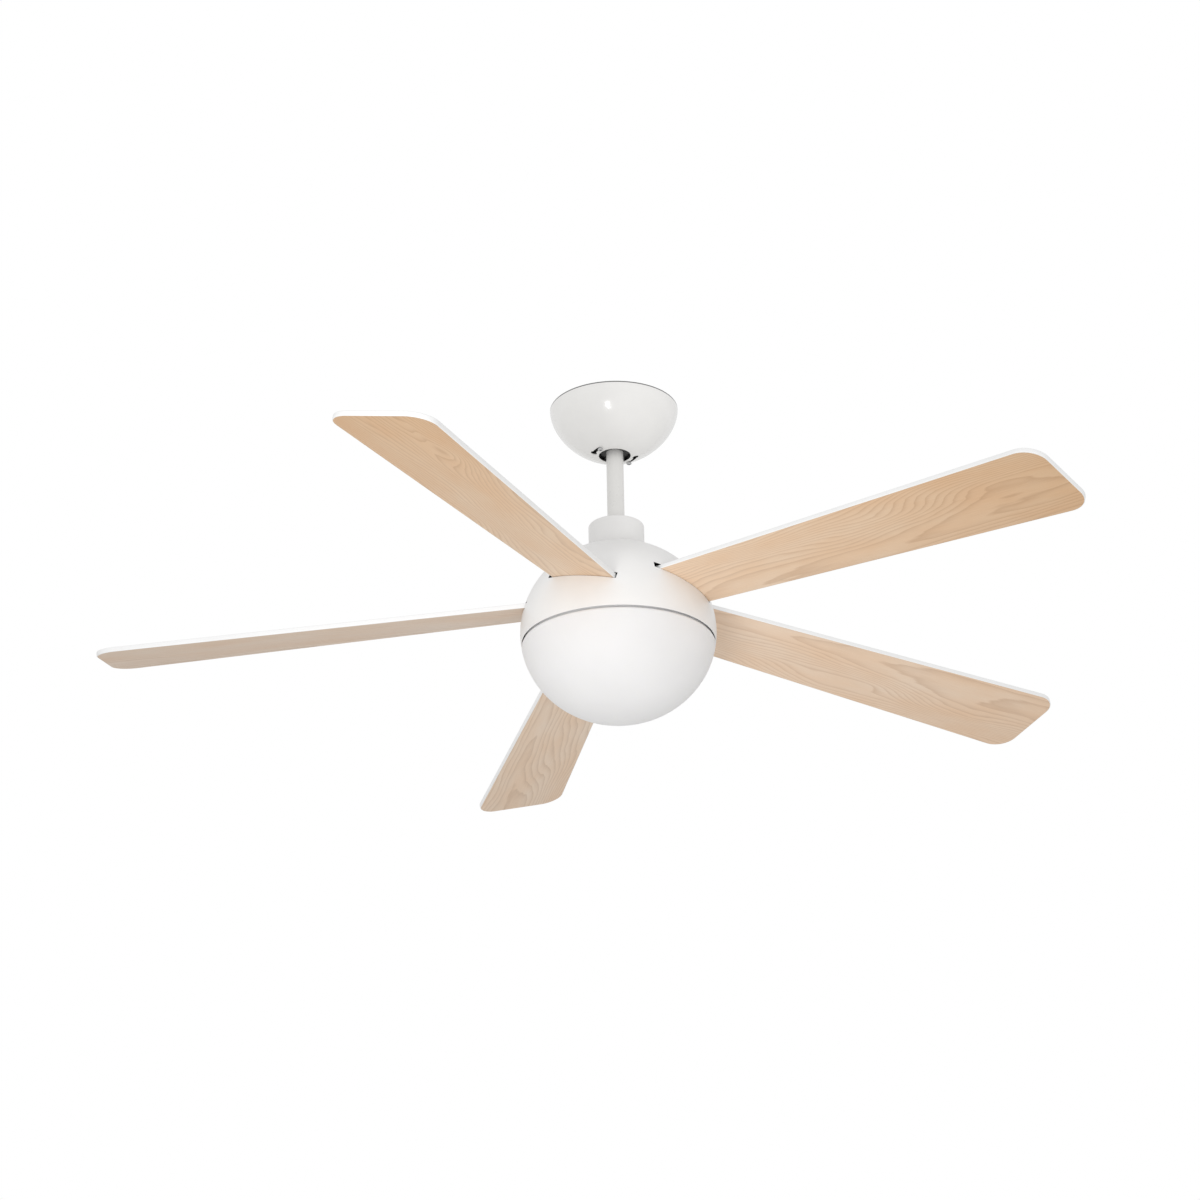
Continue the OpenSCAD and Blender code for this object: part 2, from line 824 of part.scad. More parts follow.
module blade_arm(i) {
    under_lid = lid_top - lid_t;
    color(dark_steel)
        difference() {
            union() {
                rotate([0, 0, first_blade + i * blade_step]) {
                    translate([arm_in, -arm_w / 2, under_lid - arm_flange_t])
                        cube([arm_out - arm_in, arm_w, arm_flange_t]);
                    translate([arm_web_in, -arm_web_w / 2, under_lid - 3 * arm_flange_t])
                        cube([arm_out + arm_flange_t - arm_web_in, arm_web_w, 3 * arm_flange_t - past]);
                }
                in_blade_frame(i) translate([pad_in, -pad_w / 2, blade_t])
                    cube([pad_out - pad_in, pad_w, pad_t]);
            }
            in_blade_frame(i) translate([arm_web_in - past, -pad_w, -pad_out])
                cube([pad_out, 2 * pad_w, pad_out + blade_t]);
            in_blade_frame(i) at_blade_screws()
                cylinder(r = m5_r + slip, h = blade_t + pad_t + past);
            at_arm_screws(i) translate([0, 0, under_lid - arm_flange_t - past])
                cylinder(r = m5_r + slip, h = arm_flange_t + 2 * past);
        }
}

module blade_1() { blade(0); }
module blade_2() { blade(1); }
module blade_3() { blade(2); }
module blade_4() { blade(3); }
module blade_5() { blade(4); }
module blade_arm_1() { blade_arm(0); }
module blade_arm_2() { blade_arm(1); }
module blade_arm_3() { blade_arm(2); }
module blade_arm_4() { blade_arm(3); }
module blade_arm_5() { blade_arm(4); }

module arm_screws() {
    color(steel)
        for (i = [0 : blade_count - 1])
            at_arm_screws(i) translate([0, 0, lid_top - lid_t - arm_flange_t])
                screw(m5_r, m5_head_r, m5_head_h, arm_flange_t + lid_t - past);
}

module blade_screws() {
    color(steel)
        for (i = [0 : blade_count - 1])
            in_blade_frame(i) at_blade_screws()
                screw(m5_r, m5_head_r, m5_head_h, blade_t + pad_t);
}

// ---- light ----
module at_led_screws() {
    for (i = [0 : led_screw_count - 1])
        rotate([0, 0, (i + 0.5) * 360 / led_screw_count]) translate([led_screw_pitch_r, 0, 0]) children();
}

module at_lugs() {
    for (i = [0 : lug_count - 1]) rotate([0, 0, i * 360 / lug_count]) children();
}

module lamp_pan() {
    open = lug_angle + 1;
    color(soft_white)
        difference() {
            union() {
                ring(pan_r, shaft_r + slip, pan_top - pan_t, pan_top);
                ring(pan_r, pan_r - pan_wall, pan_foot, pan_top - pan_t / 2);
            }
            at_lugs() {
                rotate([0, 0, dome_turn / 2])
                    sector(pan_r + past, pan_r - pan_wall - past, lug_top - lug_h - lug_play,
                           lug_top + lug_play, dome_turn + open);
                rotate([0, 0, dome_turn])
                    sector(pan_r + past, pan_r - pan_wall - past, pan_foot - past, lug_top, open - lug_play);
            }
            at_led_screws() translate([0, 0, pan_top - pan_t - past])
                cylinder(r = led_screw_r + slip, h = pan_t + 2 * past);
        }
}

module shaft_nuts() {
    color(zinc)
        for (z = [pan_top, pan_top - pan_t - nut_h])
            translate([0, 0, z])
                difference() {
                    cylinder(r = nut_af_r, h = nut_h, $fn = 6);
                    translate([0, 0, -past]) cylinder(r = shaft_r + slip, h = nut_h + 2 * past);
                }
}

module led_driver() {
    color(nylon)
        translate([driver_x, -driver_box[1] / 2, pan_top])
            difference() {
                cube(driver_box);
                for (side = [-1, 1])
                    translate([driver_box[0] / 2, driver_box[1] / 2 + side * driver_box[1] / 2, -past])
                        cylinder(r = 2 * m5_r, h = driver_box[2] / 4 + past);
            }
}

module led_board() {
    top = pan_top - pan_t;
    color(board_white)
        difference() {
            ring(led_board_r, board_bore_r, top - board_t, top);
            at_led_screws() translate([0, 0, top - board_t - past])
                cylinder(r = led_screw_r + slip, h = board_t + 2 * past);
        }
}

module led_ring(count, r) {
    for (i = [0 : count - 1])
        rotate([0, 0, (i + 0.5) * 360 / count])
            translate([r - led_size[0] / 2, -led_size[1] / 2, pan_top - pan_t - board_t - led_size[2]])
                cube(led_size);
}

module led_chips() {
    color(led_yellow) {
        led_ring(inner_leds, inner_led_r);
        led_ring(outer_leds, outer_led_r);
    }
}

module led_board_screws() {
    color(steel)
        at_led_screws() translate([0, 0, pan_top - pan_t - board_t])
            screw(led_screw_r, led_screw_head_r, led_screw_head_r / 2, board_t + pan_t + past);
}

module dome() {
    neck_in = dome_neck_r - dome_neck_wall;
    in_shoulder_r = dome_shoulder_r - dome_wall;
    color(opal)
        rotate_extrude()
            polygon(concat(
                [[neck_in, dome_neck_top], [dome_neck_r, dome_neck_top]],
                backwards(arc(dome_neck_r, dome_shoulder_z, dome_shoulder_r, -dome_lean, 90, 8)),
                body_curve(body_r, body_fall, dome_join + 3, 90, body_steps, -1),
                backwards(body_curve(body_r - dome_wall, body_fall - dome_wall, dome_join + 3, 90,
                                     body_steps, -1)),
                arc(dome_neck_r, dome_shoulder_z, in_shoulder_r, -dome_lean, 90, 8),
                [[neck_in, dome_shoulder_z + in_shoulder_r]]));
}

module dome_ring() {
    out_r = dome_neck_r - dome_neck_wall - slip;
    color(zinc) {
        ring(out_r, out_r - ring_t, ring_foot, dome_neck_top);
        at_lugs() sector(out_r - ring_t / 2, lug_in_r, lug_top - lug_h, lug_top, lug_angle);
    }
}

ceiling_bracket();
canopy_screws();
terminal_block();
receiver_box();
canopy();
hanger_ball();
hanger_pin();
ball_screw();
down_rod();
supply_leads();
lead_plug();
coupling();
clevis_pin();
clevis_clip();
coupling_screws();
collar();
motor_shaft();
bearing_inner(upper_bearing_z);  // upper_bearing_inner
bearing_inner(lower_bearing_z);  // lower_bearing_inner
stator_core();
stator_windings();
shaft_clip();
lamp_pan();
shaft_nuts();
led_driver();
led_board();
led_chips();
led_board_screws();
rotor_cup();
magnets();
rotor_lid();
rotor_screws();
bearing_outer(upper_bearing_z);  // upper_bearing_outer
bearing_outer(lower_bearing_z);  // lower_bearing_outer
bearing_ball_set(upper_bearing_z);  // upper_bearing_balls
bearing_ball_set(lower_bearing_z);  // lower_bearing_balls
housing();
housing_screws();
blade_arm_1();
blade_arm_2();
blade_arm_3();
blade_arm_4();
blade_arm_5();
arm_screws();
blade_1();
blade_2();
blade_3();
blade_4();
blade_5();
blade_screws();
dome();
dome_ring();
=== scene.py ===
import math

import bmesh
import bpy
from mathutils import Matrix, Vector


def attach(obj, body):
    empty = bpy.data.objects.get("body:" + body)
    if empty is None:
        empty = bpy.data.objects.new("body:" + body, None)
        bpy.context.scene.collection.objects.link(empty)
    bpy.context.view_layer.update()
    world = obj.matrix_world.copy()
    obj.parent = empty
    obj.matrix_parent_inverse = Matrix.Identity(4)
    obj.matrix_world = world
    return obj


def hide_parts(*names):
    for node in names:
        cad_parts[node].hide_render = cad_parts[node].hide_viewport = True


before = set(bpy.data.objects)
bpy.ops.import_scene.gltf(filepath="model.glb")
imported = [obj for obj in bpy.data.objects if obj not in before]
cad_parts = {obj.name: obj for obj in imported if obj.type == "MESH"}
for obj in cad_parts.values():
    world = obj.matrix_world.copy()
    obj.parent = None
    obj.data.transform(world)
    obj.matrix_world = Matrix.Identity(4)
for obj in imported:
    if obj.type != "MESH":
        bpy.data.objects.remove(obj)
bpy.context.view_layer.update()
mm = 0.001


# ---- Ceiling bracket ----
# Pressed from 2.5 mm steel sheet with the ball seat welded between its two legs, then painted black,
# its near-black also standing in as painted shade inside the canopy.
# Two slots take the ceiling screws, and everything else hangs from it.
def add_node(material, kind, sockets=None, **settings):
    made = material.node_tree.nodes.new(kind)
    for name, value in settings.items():
        setattr(made, name, value)
    for name, value in (sockets or {}).items():
        if isinstance(value, bpy.types.NodeSocket):
            material.node_tree.links.new(value, made.inputs[name])
        else:
            made.inputs[name].default_value = value
    return made


def new_finish(name, metallic=0.0):
    """A material with only its shader, and that shader."""
    material = bpy.data.materials.new(name)
    material.use_nodes = True
    material.node_tree.nodes.clear()
    shader = add_node(material, "ShaderNodeBsdfPrincipled", {"Metallic": metallic})
    add_node(material, "ShaderNodeOutputMaterial", {"Surface": shader.outputs["BSDF"]})
    return material, shader


def on_piece(material, size, drawn=(1, 1, 1), start=(0, 0, 0), place=None):
    """Places on the piece, scaled so that a pattern's lump is about size, drawn out along each axis."""
    if place is None:
        place = add_node(material, "ShaderNodeTexCoord").outputs["Object"]
    scale = [1 / (size * along) for along in drawn]
    spread = add_node(material, "ShaderNodeMapping", {"Vector": place, "Scale": scale, "Location": start})
    return spread.outputs["Vector"]


def mottle(material, size, drawn=(1, 1, 1), detail=3.0, start=(0, 0, 0), place=None):
    """A soft random pattern from 0 to 1 with lumps of about size."""
    sockets = {"Vector": on_piece(material, size, drawn, start, place), "Scale": 1.0, "Detail": detail}
    return add_node(material, "ShaderNodeTexNoise", sockets).outputs["Fac"]


def between(material, amount, low, high, start=0.3, end=0.7):
    """amount from start to end becomes low to high."""
    sockets = {"Value": amount, "From Min": start, "From Max": end, "To Min": low, "To Max": high}
    return add_node(material, "ShaderNodeMapRange", sockets).outputs["Result"]


def two_shades(material, amount, dark, light):
    mix = add_node(material, "ShaderNodeMix", {0: amount, 6: (*dark, 1), 7: (*light, 1)}, data_type="RGBA")
    return mix.outputs[2]


def wire(material, output, shader, socket):
    material.node_tree.links.new(output, shader.inputs[socket])


def coloured(material, shader, pattern, dark, light):
    """Base colour that goes from dark to light with the pattern."""
    wire(material, two_shades(material, between(material, pattern, 0, 1), dark, light), shader, "Base Color")


def roughened(material, shader, pattern, roughness):
    """Roughness that goes from the first value to the second with the pattern."""
    wire(material, between(material, pattern, *roughness), shader, "Roughness")


def relief(material, shader, height, depth):
    """Bumps of depth metres where height goes from 0 to 1."""
    bump = add_node(material, "ShaderNodeBump", {"Height": height, "Distance": depth})
    wire(material, bump.outputs["Normal"], shader, "Normal")


def powder_coat(name, dark, light, roughness, peel, coat):
    """Baked powder paint: nearly even, with a soft orange peel and slow changes of gloss."""
    material, shader = new_finish(name)
    shader.inputs["Coat Weight"].default_value = coat
    shader.inputs["Coat Roughness"].default_value = 0.08
    shader.inputs["Specular IOR Level"].default_value = 0.5
    cloud = mottle(material, 55 * mm, detail=5.0)
    coloured(material, shader, cloud, dark, light)
    gloss = mottle(material, 9 * mm, detail=6.0)
    roughened(material, shader, gloss, roughness)
    skin = mottle(material, 1.6 * mm, detail=2.0)
    relief(material, shader, skin, peel)
    return material, shader


def dress(material, *nodes):
    """Gives CAD nodes a material in place of their plain one."""
    for node in nodes:
        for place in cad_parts[node].material_slots:
            place.material = material


# Painted shade in part: this near-black also gives the dark seen inside the canopy.
black_paint = powder_coat(
    "black_paint", (0.014, 0.014, 0.014), (0.022, 0.022, 0.022), (0.34, 0.5), 0.01 * mm, 0.1
)[0]
dress(black_paint, "ceiling_bracket")


# ---- Terminal block and receiver box ----
# The terminal block is moulded white nylon with four poles for the house wires.
# The receiver for the hand control is a grey box of moulded plastic, spark eroded to a fine matt.
def moulded(name, dark, light, roughness, grain, depth):
    """Moulded plastic: even colour with slow flow marks, and the fine texture of its mould."""
    material, shader = new_finish(name)
    flow = mottle(material, 18 * mm, drawn=(1, 1, 2.5), detail=4.0)
    coloured(material, shader, flow, dark, light)
    wear = mottle(material, 3 * mm, detail=6.0)
    roughened(material, shader, wear, roughness)
    relief(material, shader, mottle(material, grain, detail=5.0), depth)
    return material


white_nylon = moulded(
    "white_nylon", (0.74, 0.73, 0.69), (0.80, 0.79, 0.76), (0.38, 0.52), 0.5 * mm, 0.01 * mm
)
grey_plastic = moulded(
    "grey_plastic", (0.60, 0.60, 0.60), (0.66, 0.66, 0.65), (0.45, 0.62), 0.35 * mm, 0.03 * mm
)
dress(white_nylon, "terminal_block", "lead_plug")
dress(grey_plastic, "receiver_box")


# ---- Canopy ----
# A deep bowl spun from 1.2 mm steel and powder coated gloss white; a dark grey band along its top rim is
# painted shadow, the line where it meets the ceiling.
# Inside it is dark primer, painted near-black as the shade in there. Two keyhole slots by the rod hole drop
# over the canopy screws.
canopy_radius = 83.3 * mm
canopy_depth = 70.2 * mm
canopy_wall = 1.2 * mm
canopy_gap = 0.5 * mm
canopy_floor = 65.5 * mm
canopy_curve = 1.78
rod_hole = 20.5 * mm
keyhole_pitch = 27.7 * mm
keyhole_width = 4.4 * mm
keyhole_entry = 3.9 * mm
keyhole_turn = math.radians(34)
first_keyhole = math.radians(-131.7)
rim_shadow_band = 1.9 * mm
canopy_edge = 0.5 * mm
ease_before = 4.0 * mm
ease_after = 1.5 * mm
round_steps = 192


def arc(x, y, radius, start, end, steps):
    """Points along an arc, with its angles in degrees."""
    turns = [math.radians(start + (end - start) * i / steps) for i in range(steps + 1)]
    return [(x + radius * math.cos(a), y + radius * math.sin(a)) for a in turns]


def softened(outline, radius, sharpest=25):
    """The closed outline with each corner that turns more than sharpest degrees rounded to radius."""
    points = [Vector(p) for p in outline]
    made = []
    for before, here, after in zip(points[-1:] + points[:-1], points, points[1:] + points[:1]):
        back, on = before - here, after - here
        turn = math.pi - back.angle(on)
        if math.degrees(turn) < sharpest:
            made.append(tuple(here))
            continue
        reach = min(radius * math.tan(turn / 2), 0.45 * back.length, 0.45 * on.length)
        start = here + back.normalized() * reach
        end = here + on.normalized() * reach
        for i in range(6):
            t = i / 5
            made.append(tuple(start * (1 - t) ** 2 + here * 2 * t * (1 - t) + end * t ** 2))
    return made


def spun(name, outline, steps=round_steps):
    """A piece turned round the fan's axis from a closed outline of radius and height."""
    shape = bmesh.new()
    turns = [2 * math.pi * i / steps for i in range(steps)]
    rings = []
    on_axis = 1e-7
    for radius, height in outline:
        if radius < on_axis:
            rings.append([shape.verts.new((0, 0, height))])
        else:
            spots = [(radius * math.cos(a), radius * math.sin(a), height) for a in turns]
            rings.append([shape.verts.new(spot) for spot in spots])
    for one, two in zip(rings, rings[1:] + rings[:1]):
        for i in range(steps):
            j = (i + 1) % steps
            corners = [one[i % len(one)], one[j % len(one)], two[j % len(two)], two[i % len(two)]]
            corners = list(dict.fromkeys(corners))
            if len(corners) > 2:
                shape.faces.new(corners)
    return finished_mesh(name, shape)


def finished_mesh(name, shape):
    bmesh.ops.recalc_face_normals(shape, faces=shape.faces)
    mesh = bpy.data.meshes.new(name)
    shape.to_mesh(mesh)
    shape.free()
    piece = bpy.data.objects.new(name, mesh)
    bpy.context.scene.collection.objects.link(piece)
    return piece


def block(name, low, high):
    """A plain block, used only to cut with."""
    shape = bmesh.new()
    middle = Matrix.Translation((Vector(low) + Vector(high)) / 2)
    size = Matrix.Diagonal((*(Vector(high) - Vector(low)), 1))
    bmesh.ops.create_cube(shape, size=1, matrix=middle @ size)
    return finished_mesh(name, shape)


def pin(name, radius, low, high, steps=48):
    """A plain round bar along Z, used only to cut with."""
    return spun(name, [(0, low), (radius, low), (radius, high), (0, high)], steps)


def prism(name, outline, low, high):
    """A flat outline made solid between two heights, used only to cut with."""
    shape = bmesh.new()
    floor = [shape.verts.new((x, y, low)) for x, y in outline]
    roof = [shape.verts.new((x, y, high)) for x, y in outline]
    shape.faces.new(floor)
    shape.faces.new(roof)
    for i in range(len(outline)):
        j = (i + 1) % len(outline)
        shape.faces.new((floor[i], floor[j], roof[j], roof[i]))
    return finished_mesh(name, shape)


def cut(piece, cutter, place=Matrix.Identity(4)):
    """Takes the cutter's shape, put at place, out of the piece."""
    cutter.data.transform(place)
    tool = piece.modifiers.new("cut", "BOOLEAN")
    tool.operation = "DIFFERENCE"
    tool.solver = "EXACT"
    tool.object = cutter
    bpy.context.view_layer.update()
    shape = piece.evaluated_get(bpy.context.evaluated_depsgraph_get())
    mesh = bpy.data.meshes.new_from_object(shape)
    piece.modifiers.clear()
    piece.data = mesh
    bpy.data.objects.remove(cutter)


def smooth(piece, sharpest=32):
    """Smooth shading, with edges over sharpest degrees left crisp."""
    piece.data.shade_smooth()
    piece.data.set_sharp_from_angle(angle=math.radians(sharpest))


def turned(angle):
    return Matrix.Rotation(angle, 4, "Z")


def bowl(radius, depth, power, start, end, steps):
    """Radius and depth along a rounded bowl, with its angles in degrees from the rim."""
    made = []
    for i in range(steps + 1):
        t = math.radians(start + (end - start) * i / steps)
        across = radius * max(math.cos(t), 0) ** (2 / power)
        made.append((across, -depth * math.sin(t) ** (2 / power)))
    return made


def canopy_side(radius, depth, floor):
    """One face of the canopy, from the rim to the rod hole, with the bowl eased into its flat floor."""
    end = math.degrees(math.asin((floor / depth) ** (canopy_curve / 2)))
    side = bowl(radius, depth, canopy_curve, 0, end, 72)
    corner = Vector(side[-1])
    ease = [p for p in side if p[0] > corner.x + ease_before]
    start, stop = Vector(ease[-1]), Vector((rod_hole + ease_after, -floor))
    for i in range(1, 9):
        t = i / 8
        ease.append(tuple(start * (1 - t) ** 2 + corner * 2 * t * (1 - t) + stop * t ** 2))
    return ease + [(rod_hole, -floor)]


canopy_white, canopy_shader = powder_coat(
    "canopy_gloss_white", (0.835, 0.825, 0.810), (0.865, 0.855, 0.840), (0.16, 0.24), 0.006 * mm, 0.6
)
height = add_node(
    canopy_white,
    "ShaderNodeSeparateXYZ",
    {"Vector": add_node(canopy_white, "ShaderNodeTexCoord").outputs["Object"]},
).outputs["Z"]
# Painted shadow: the top of the rim fades to dark grey, the shadow line where the canopy meets the ceiling.
rim_shadow_fades_out = -canopy_gap - rim_shadow_band
rim_shadow_is_full = -canopy_gap - 0.7 * rim_shadow_band
rim_shadow_share = between(canopy_white, height, 0, 1, rim_shadow_fades_out, rim_shadow_is_full)
paint = canopy_shader.inputs["Base Color"].links[0].from_socket
rim_shadow_grey = (0.13, 0.13, 0.13, 1)
rim_shadow_mix = add_node(canopy_white, "ShaderNodeMix", {0: rim_shadow_share, 6: paint, 7: rim_shadow_grey}, data_type="RGBA")
wire(canopy_white, rim_shadow_mix.outputs[2], canopy_shader, "Base Color")

outside = canopy_side(canopy_radius, canopy_depth, canopy_floor)
inside = canopy_side(canopy_radius - canopy_wall, canopy_depth - canopy_wall, canopy_floor - canopy_wall)
canopy = spun("canopy_bowl", softened([(r, z - canopy_gap) for r, z in outside + inside[::-1]], canopy_edge))
turn = math.degrees(keyhole_turn)
slot_outline = (
    arc(0, 0, keyhole_pitch + keyhole_width / 2, -turn, 0, 24)
    + arc(keyhole_pitch, 0, keyhole_width / 2, 15, 165, 16)
    + arc(0, 0, keyhole_pitch - keyhole_width / 2, 0, -turn, 24)
)
for side in (0, math.pi):
    lock = turned(first_keyhole + side)
    entry = lock @ turned(-keyhole_turn) @ Matrix.Translation((keyhole_pitch, 0, 0))
    cut(canopy, prism("slot_tool", slot_outline, -canopy_depth - mm, -canopy_floor + 4 * mm), lock)
    cut(canopy, pin("entry_tool", keyhole_entry, -canopy_depth - mm, -canopy_floor + 4 * mm), entry)
# Painted shade: this primer's near-black stands in for the shade inside the canopy and the housing.
primer_painted_shade = moulded(
    "primer_painted_shade", (0.020, 0.019, 0.018), (0.032, 0.030, 0.028), (0.55, 0.75), 0.8 * mm, 0.02 * mm
)


def primer_shade_inside(piece, outside_finish, middle, lowest):
    """Paint outside, and near-black primer as painted shade above lowest on faces that look in to the axis
    at middle.
    """
    piece.data.materials.clear()
    piece.data.materials.append(outside_finish)
    piece.data.materials.append(primer_painted_shade)
    looks_in = -0.3
    for face in piece.data.polygons:
        outward = (face.center - Vector((0, 0, middle))).normalized()
        if face.center.z > lowest and face.normal.dot(outward) < looks_in:
            face.material_index = 1


primer_shade_inside(canopy, canopy_white, 0, -canopy_depth - canopy_gap)
smooth(canopy)
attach(canopy, "canopy_cover")
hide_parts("canopy")


# ---- Canopy screws ----
# Two plated pan-head screws with a cross recess, driven up into the bracket's flange.
# They stand a little proud, so that the keyhole slots can slide in behind their heads.
screw_head = 3.4 * mm
screw_head_height = 2.2 * mm
screw_shank = 2.0 * mm
screw_head_top = -66.3 * mm
screw_top = -54.5 * mm
recess_width = 0.9 * mm
recess_reach = 2.1 * mm
recess_depth = 1.3 * mm
thread_pitch = 0.7 * mm
thread_depth = 0.2 * mm
thread_flank = 0.3 * thread_pitch
recess_turn = 0.5


def bright_steel(name, dark, light, roughness):
    """Cold-headed screw steel: fine random scratches over slow changes of shade."""
    material, shader = new_finish(name, metallic=1.0)
    shade = mottle(material, 1.8 * mm, detail=5.0)
    coloured(material, shader, shade, dark, light)
    scratch = mottle(material, 0.12 * mm, drawn=(1, 6, 1), detail=3.0)
    roughened(material, shader, scratch, roughness)
    relief(material, shader, scratch, 0.003 * mm)
    return material


screw_steel = bright_steel("screw_steel", (0.52, 0.52, 0.53), (0.70, 0.70, 0.70), (0.18, 0.34))


def pan_screw(name):
    foot = screw_head_top - screw_head_height
    crown_height = screw_head_height * 0.6
    crown = [(screw_head * math.cos(a), foot + crown_height * (1 - math.sin(a)))
             for a in (math.radians(d) for d in range(0, 91, 9))]
    outline = [(0, screw_top), (screw_shank - thread_depth, screw_top)]
    ridges = int((screw_top - screw_head_top) / thread_pitch) - 1
    for i in range(ridges):
        z = screw_top - (i + 0.5) * thread_pitch
        outline += [(screw_shank - thread_depth, z + thread_flank), (screw_shank, z)]
        outline += [(screw_shank - thread_depth, z - thread_flank)]
    outline += [(screw_shank, screw_head_top), (screw_head, screw_head_top)] + crown
    screw = spun(name, outline, 48)
    for across in (0, math.pi / 2):
        arm = block("recess_tool", (-recess_reach, -recess_width / 2, foot - mm),
                    (recess_reach, recess_width / 2, foot + recess_depth))
        cut(screw, arm, turned(across))
    return screw


def gathered(name, shape, places):
    """One piece made of copies of a shape, and the shape itself is used up."""
    made = bmesh.new()
    for place in places:
        copy = shape.data.copy()
        copy.transform(place)
        made.from_mesh(copy)
        bpy.data.meshes.remove(copy)
    bpy.data.objects.remove(shape)
    return finished_mesh(name, made)


canopy_screw_places = [
    turned(first_keyhole + side) @ Matrix.Translation((keyhole_pitch, 0, 0)) @ turned(recess_turn + side)
    for side in (0, math.pi)
]
canopy_screws = gathered("canopy_screw_pair", pan_screw("screw_pattern"), canopy_screw_places)
canopy_screws.data.materials.append(screw_steel)
smooth(canopy_screws)
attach(canopy_screws, "ceiling_mount")
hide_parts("canopy_screws")


# ---- Hanger ball, its pin and its set screw ----
# The ball is moulded from black glass-filled nylon and turns in the bracket's seat.
# A steel pin through ball and rod carries the fan, and a set screw stops the ball rattling.
black_nylon = moulded(
    "black_nylon", (0.012, 0.012, 0.012), (0.022, 0.021, 0.020), (0.42, 0.60), 0.5 * mm, 0.02 * mm
)
dress(black_nylon, "hanger_ball")
dress(screw_steel, "hanger_pin", "ball_screw")


# ---- Down rod ----
# A 22 mm welded steel tube, powder coated white, cross drilled near each end for its pins.
# The supply leads run down inside it.
rod_radius = 11.0 * mm
rod_wall = 1.6 * mm
rod_top = -19.0 * mm
rod_foot = -195.5 * mm
hanger_pin_hole = 2.55 * mm
hanger_pin_height = -29.0 * mm
clevis_hole = 3.05 * mm
clevis_height = -184.0 * mm
rod_white = powder_coat(
    "rod_white", (0.765, 0.755, 0.735), (0.795, 0.785, 0.765), (0.26, 0.36), 0.008 * mm, 0.2
)[0]
rod_outline = [
    (rod_radius - rod_wall, rod_foot),
    (rod_radius, rod_foot),
    (rod_radius, rod_top),
    (rod_radius - rod_wall, rod_top),
]
rod = spun("rod_tube", softened(rod_outline, 0.4 * mm), 96)
lying = Matrix.Rotation(math.pi / 2, 4, "Y")
for radius, height in ((hanger_pin_hole, hanger_pin_height), (clevis_hole, clevis_height)):
    bar = pin("pin_tool", radius, -2 * rod_radius, 2 * rod_radius)
    cut(rod, bar, Matrix.Translation((0, 0, height)) @ lying)
rod.data.materials.clear()
rod.data.materials.append(rod_white)
smooth(rod)
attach(rod, "hanging_stem")
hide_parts("down_rod")


# ---- Supply leads and their plug ----
# Four brown PVC-insulated wires that run from the plug above the ball down through rod and shaft.
# The plug is the same white nylon as the terminal block.
lead_brown, lead_shader = new_finish("lead_insulation")
lead_tone = mottle(lead_brown, 6 * mm, drawn=(1, 1, 8))
coloured(lead_brown, lead_shader, lead_tone, (0.16, 0.07, 0.035), (0.24, 0.11, 0.055))
roughened(lead_brown, lead_shader, mottle(lead_brown, 0.8 * mm), (0.32, 0.5))
relief(lead_brown, lead_shader, mottle(lead_brown, 0.3 * mm, drawn=(1, 1, 12)), 0.006 * mm)
dress(lead_brown, "supply_leads")


# ---- Coupling, clevis pin, its clip and two set screws ----
# The coupling is a cast iron sleeve with a black phosphate skin that joins rod and motor shaft.
# The clevis pin carries the load, the clip keeps it in, and the set screws take up the play.
def cast_metal(name, dark, light, metallic, roughness, grain, depth):
    """A casting: sandy or die-cast skin with darker hollows."""
    material, shader = new_finish(name, metallic=metallic)
    skin = mottle(material, grain, detail=8.0)
    coloured(material, shader, skin, dark, light)
    roughened(material, shader, mottle(material, 6 * grain, detail=6.0), roughness)
    relief(material, shader, skin, depth)
    return material


black_cast = cast_metal(
    "phosphate_casting", (0.020, 0.020, 0.022), (0.055, 0.055, 0.058), 0.6, (0.42, 0.62), 1.1 * mm, 0.08 * mm
)
dress(black_cast, "coupling")
dress(screw_steel, "clevis_pin", "clevis_clip", "coupling_screws")


# ---- Collar ----
# A white cup pressed from steel that slides down the rod and hides the coupling.
# Its foot sits just over the mouth of the ball housing.
collar_radius = 35.6 * mm
collar_top = -166.5 * mm
collar_foot = -201.9 * mm
collar_wall = 1.5 * mm
collar_fillet = 3.0 * mm
collar_bore = 11.4 * mm
satin_white = powder_coat(
    "satin_white", (0.81, 0.80, 0.79), (0.84, 0.83, 0.82), (0.34, 0.44), 0.007 * mm, 0.0
)[0]
shoulder = (collar_radius - collar_fillet, collar_top - collar_fillet)
collar_outline = (
    [(collar_radius, collar_foot)]
    + arc(*shoulder, collar_fillet, 0, 90, 14)
    + [(collar_bore, collar_top), (collar_bore, collar_top - collar_wall)]
    + arc(*shoulder, collar_fillet - collar_wall, 90, 0, 14)
    + [(collar_radius - collar_wall, collar_foot)]
)
collar = spun("collar_cup", softened(collar_outline, 0.5 * mm), 144)
collar.data.materials.append(satin_white)
smooth(collar)
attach(collar, "hanging_stem")
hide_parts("collar")


# ---- Motor shaft, its nuts and its clip ----
# The hollow shaft is turned from steel bar and stands still; the leads pass down its bore.
# A spring clip holds the lower bearing, and two plated nuts clamp the lamp pan on its foot.
def plated_steel(name, dark, light, spangle, roughness):
    """Zinc plate: crystals a few millimetres across that differ a little in shade and gloss."""
    material, shader = new_finish(name, metallic=1.0)
    cells = add_node(material, "ShaderNodeTexVoronoi", {"Vector": on_piece(material, spangle), "Scale": 1.0})
    crystal = add_node(material, "ShaderNodeSeparateColor", {"Color": cells.outputs["Color"]}).outputs["Red"]
    wire(material, two_shades(material, crystal, dark, light), shader, "Base Color")
    haze = mottle(material, 4 * spangle, detail=5.0)
    roughened(material, shader, haze, roughness)
    relief(material, shader, mottle(material, 0.25 * mm, detail=4.0), 0.006 * mm)
    return material


